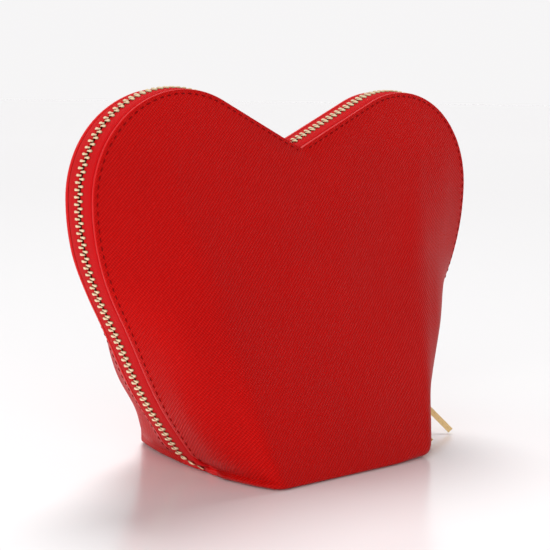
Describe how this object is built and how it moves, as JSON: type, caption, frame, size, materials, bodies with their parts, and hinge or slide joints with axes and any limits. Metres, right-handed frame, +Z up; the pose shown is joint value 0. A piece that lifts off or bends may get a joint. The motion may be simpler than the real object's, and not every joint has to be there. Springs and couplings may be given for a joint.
{
  "type": "heart shaped purse",
  "caption": "Heart shaped leather zip purse on a boxed base, with padded panels, lining, metal two-way zip, sliders and slim bar pulls.",
  "frame": {"origin": "middle of the base on the surface that the purse stands on", "axes": "+X to the right seen from the front, -Y to the front, +Z up"},
  "size_m": [0.2098, 0.0972, 0.1592],
  "materials": {
    "leather": "red cross-hatched grain, semi-gloss",
    "card": "grey-brown pressed board",
    "lining": "thin woven lining",
    "tape": "herringbone woven zip tape",
    "metal": "polished pale gold"
  },
  "bodies": {
    "back_half": {"back_panel": "leather", "back_stiffener": "card", "back_base_board": "card", "back_lining": "lining", "back_zip_tape": "tape", "back_teeth": "metal", "front_tape_run": "tape", "front_teeth_run": "metal", "left_end_stop": "metal", "right_end_stop": "metal"},
    "front_half": {"front_panel": "leather", "front_stiffener": "card", "front_base_board": "card", "front_lining": "lining", "front_zip_tape": "tape", "front_teeth": "metal"},
    "lower_slider": {"lower_slider_body": "metal", "lower_slider_bail": "metal"},
    "lower_link": {"lower_pull_link": "metal"},
    "lower_pull": {"lower_pull_bar": "metal"},
    "upper_slider": {"upper_slider_body": "metal", "upper_slider_bail": "metal"},
    "upper_link": {"upper_pull_link": "metal"},
    "upper_pull": {"upper_pull_bar": "metal"}
  },
  "joints": [
    {"name": "front_open", "type": "hinge", "parent": "back_half", "child": "front_half", "pos_m": [0, 0, 0], "axis": [1, 0, 0], "range_deg": [0, 25]},
    {"name": "lower_slide", "type": "slide", "parent": "back_half", "child": "lower_slider", "axis": [0.5075, 0, 0.8616], "range_m": [0, 0.012]},
    {"name": "upper_slide", "type": "slide", "parent": "lower_slider", "child": "upper_slider", "axis": [0.5075, 0, 0.8616], "range_m": [0, 0.024]},
    {"name": "lower_link_swing", "type": "hinge", "parent": "lower_slider", "child": "lower_link", "pos_m": [0.06394, 0, 0.01304], "axis": [0.5075, 0, 0.8616], "range_deg": [0, 164]},
    {"name": "lower_pull_swing", "type": "hinge", "parent": "lower_link", "child": "lower_pull", "pos_m": [0.0643, -0.00475, 0.01283], "axis": [0.8584, 0.0872, -0.5056], "range_deg": [0, 55]},
    {"name": "upper_link_swing", "type": "hinge", "parent": "upper_slider", "child": "upper_link", "pos_m": [0.06975, 0, 0.02291], "axis": [0.5075, 0, 0.8616], "range_deg": [-30, 125]},
    {"name": "upper_pull_swing", "type": "hinge", "parent": "upper_link", "child": "upper_pull", "pos_m": [0.0725, -0.00354, 0.02129], "axis": [0.6403, 0.6691, -0.3772], "range_deg": [-80, 0]}
  ]
}
